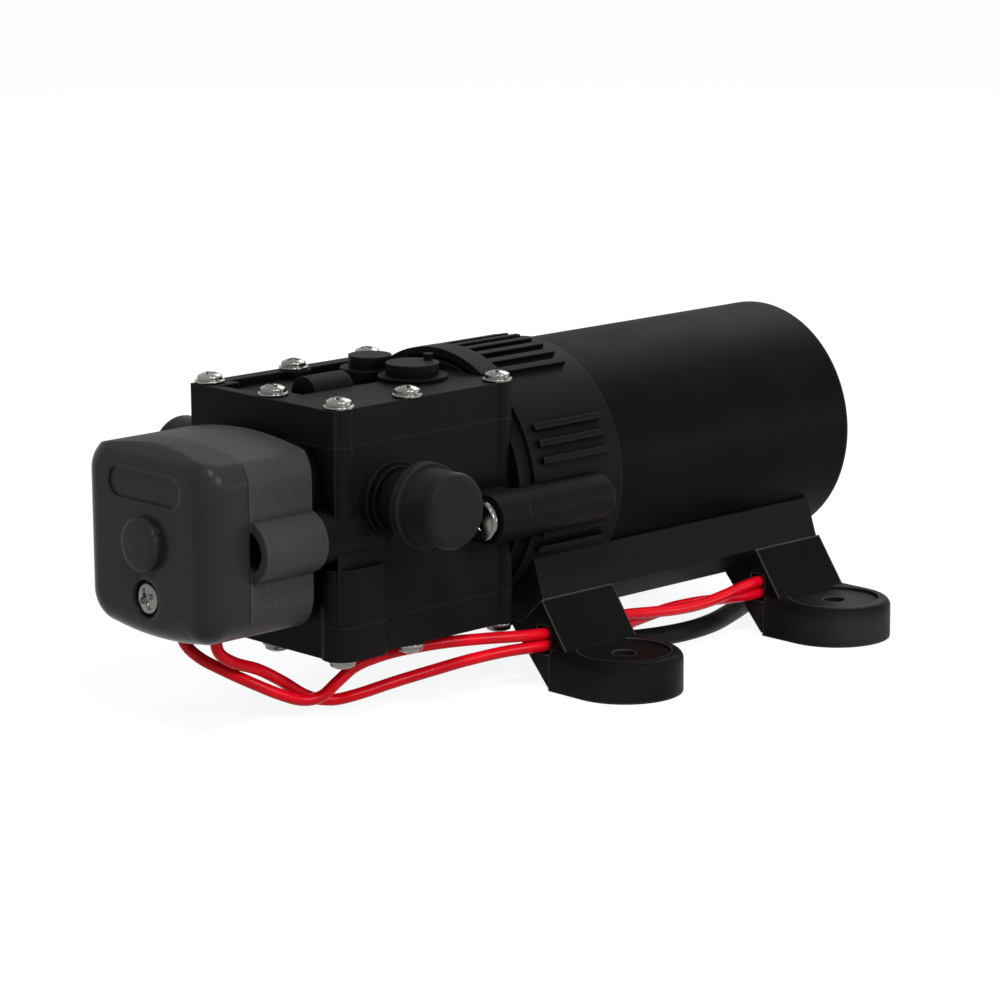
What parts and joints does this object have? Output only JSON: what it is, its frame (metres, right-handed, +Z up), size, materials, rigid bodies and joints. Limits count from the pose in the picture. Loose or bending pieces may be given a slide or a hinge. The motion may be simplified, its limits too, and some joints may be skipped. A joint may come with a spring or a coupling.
{
  "type": "caravan water pump",
  "caption": "Compact 12 V diaphragm water pump with a pressure switch, capped side ports, a round motor and rubber feet.",
  "frame": {"origin": "on the floor, at the centre of the four foot holes", "axes": "+X along the motor away from the switch, +Z up, +Y from the outlet's side to the inlet's side"},
  "size_m": [0.184, 0.0974, 0.0647],
  "materials": {
    "can_black": "satin black enamel",
    "head_black": "satin charcoal moulding",
    "cover_grey": "satin bluish dark grey moulding",
    "base_grey": "fine-grained dark grey moulding",
    "foot_rubber": "soft black rubber",
    "cap_black": "satin black cap",
    "seal_rubber": "black rubber",
    "nickel": "bright nickel plate",
    "steel": "machined steel",
    "lamination": "dark stamped iron",
    "magnet": "sintered ferrite",
    "copper": "enamelled copper",
    "bronze": "sintered bronze",
    "phenolic": "brown moulded board",
    "carbon": "pressed carbon",
    "valve_plastic": "grey moulding",
    "lead_red": "red insulation",
    "cable_black": "dull black sheath",
    "button_red": "red moulding"
  },
  "bodies": {
    "housing": {"motor_can": "can_black", "motor_bracket": "head_black", "front_bearing": "steel", "rear_bush": "bronze", "magnets": "magnet", "brush_holder": "phenolic", "brushes": "carbon", "brush_springs": "steel", "pump_body": "head_black", "top_cover": "head_black", "bottom_cover": "head_black", "upper_valve_plate": "valve_plastic", "lower_valve_plate": "valve_plastic", "upper_diaphragm": "seal_rubber", "lower_diaphragm": "seal_rubber", "inlet_valves": "seal_rubber", "outlet_valves": "seal_rubber", "top_screws": "nickel", "bottom_screws": "nickel", "motor_screws": "nickel", "outlet_fitting": "head_black", "inlet_fitting": "head_black", "port_seals": "seal_rubber", "switch_base": "base_grey", "switch_cover": "cover_grey", "switch_screws": "nickel", "cover_screw": "nickel", "microswitch": "carbon", "switch_diaphragm": "seal_rubber", "switch_spring": "steel", "base_saddle": "head_black", "near_front_foot": "foot_rubber", "near_rear_foot": "foot_rubber", "far_front_foot": "foot_rubber", "far_rear_foot": "foot_rubber", "lead_grommet": "seal_rubber", "upper_lead": "lead_red", "lower_lead": "lead_red", "supply_cable": "cable_black", "supply_cores": "lead_red", "bare_ends": "copper"},
    "rotor": {"shaft": "steel", "armature_core": "lamination", "windings": "copper", "commutator": "copper", "eccentric": "steel", "cam_bearing": "steel"},
    "yoke": {"piston_yoke": "valve_plastic", "piston_plates": "steel", "piston_screws": "steel"},
    "outlet_plug": {"outlet_cap": "cap_black"},
    "inlet_plug": {"inlet_cap": "cap_black"},
    "plunger": {"switch_plunger": "valve_plastic"},
    "button": {"switch_button": "button_red"}
  },
  "joints": [
    {"name": "rotor_spin", "type": "hinge", "parent": "housing", "child": "rotor", "pos_m": [0, 0, 0.0378], "axis": [1, 0, 0], "continuous": true},
    {"name": "yoke_slide", "type": "slide", "parent": "housing", "child": "yoke", "axis": [0, 0, 1], "range_m": [-0.001, 0.001], "stiffness_N_per_m": 1500, "deforming": ["upper_diaphragm", "lower_diaphragm"]},
    {"name": "outlet_cap_pull", "type": "slide", "parent": "housing", "child": "outlet_plug", "axis": [0, -1, 0], "range_m": [0, 0.025]},
    {"name": "inlet_cap_pull", "type": "slide", "parent": "housing", "child": "inlet_plug", "axis": [0, 1, 0], "range_m": [0, 0.025]},
    {"name": "plunger_slide", "type": "slide", "parent": "housing", "child": "plunger", "axis": [-1, 0, 0], "range_m": [0, 0.0012], "stiffness_N_per_m": 900, "deforming": ["switch_spring", "switch_diaphragm"]},
    {"name": "button_press", "type": "slide", "parent": "housing", "child": "button", "axis": [-1, 0, 0], "range_m": [0, 0.0012]}
  ],
  "couplings": [
    {"joint": "button_press", "follows": "plunger_slide", "ratio": 1}
  ]
}
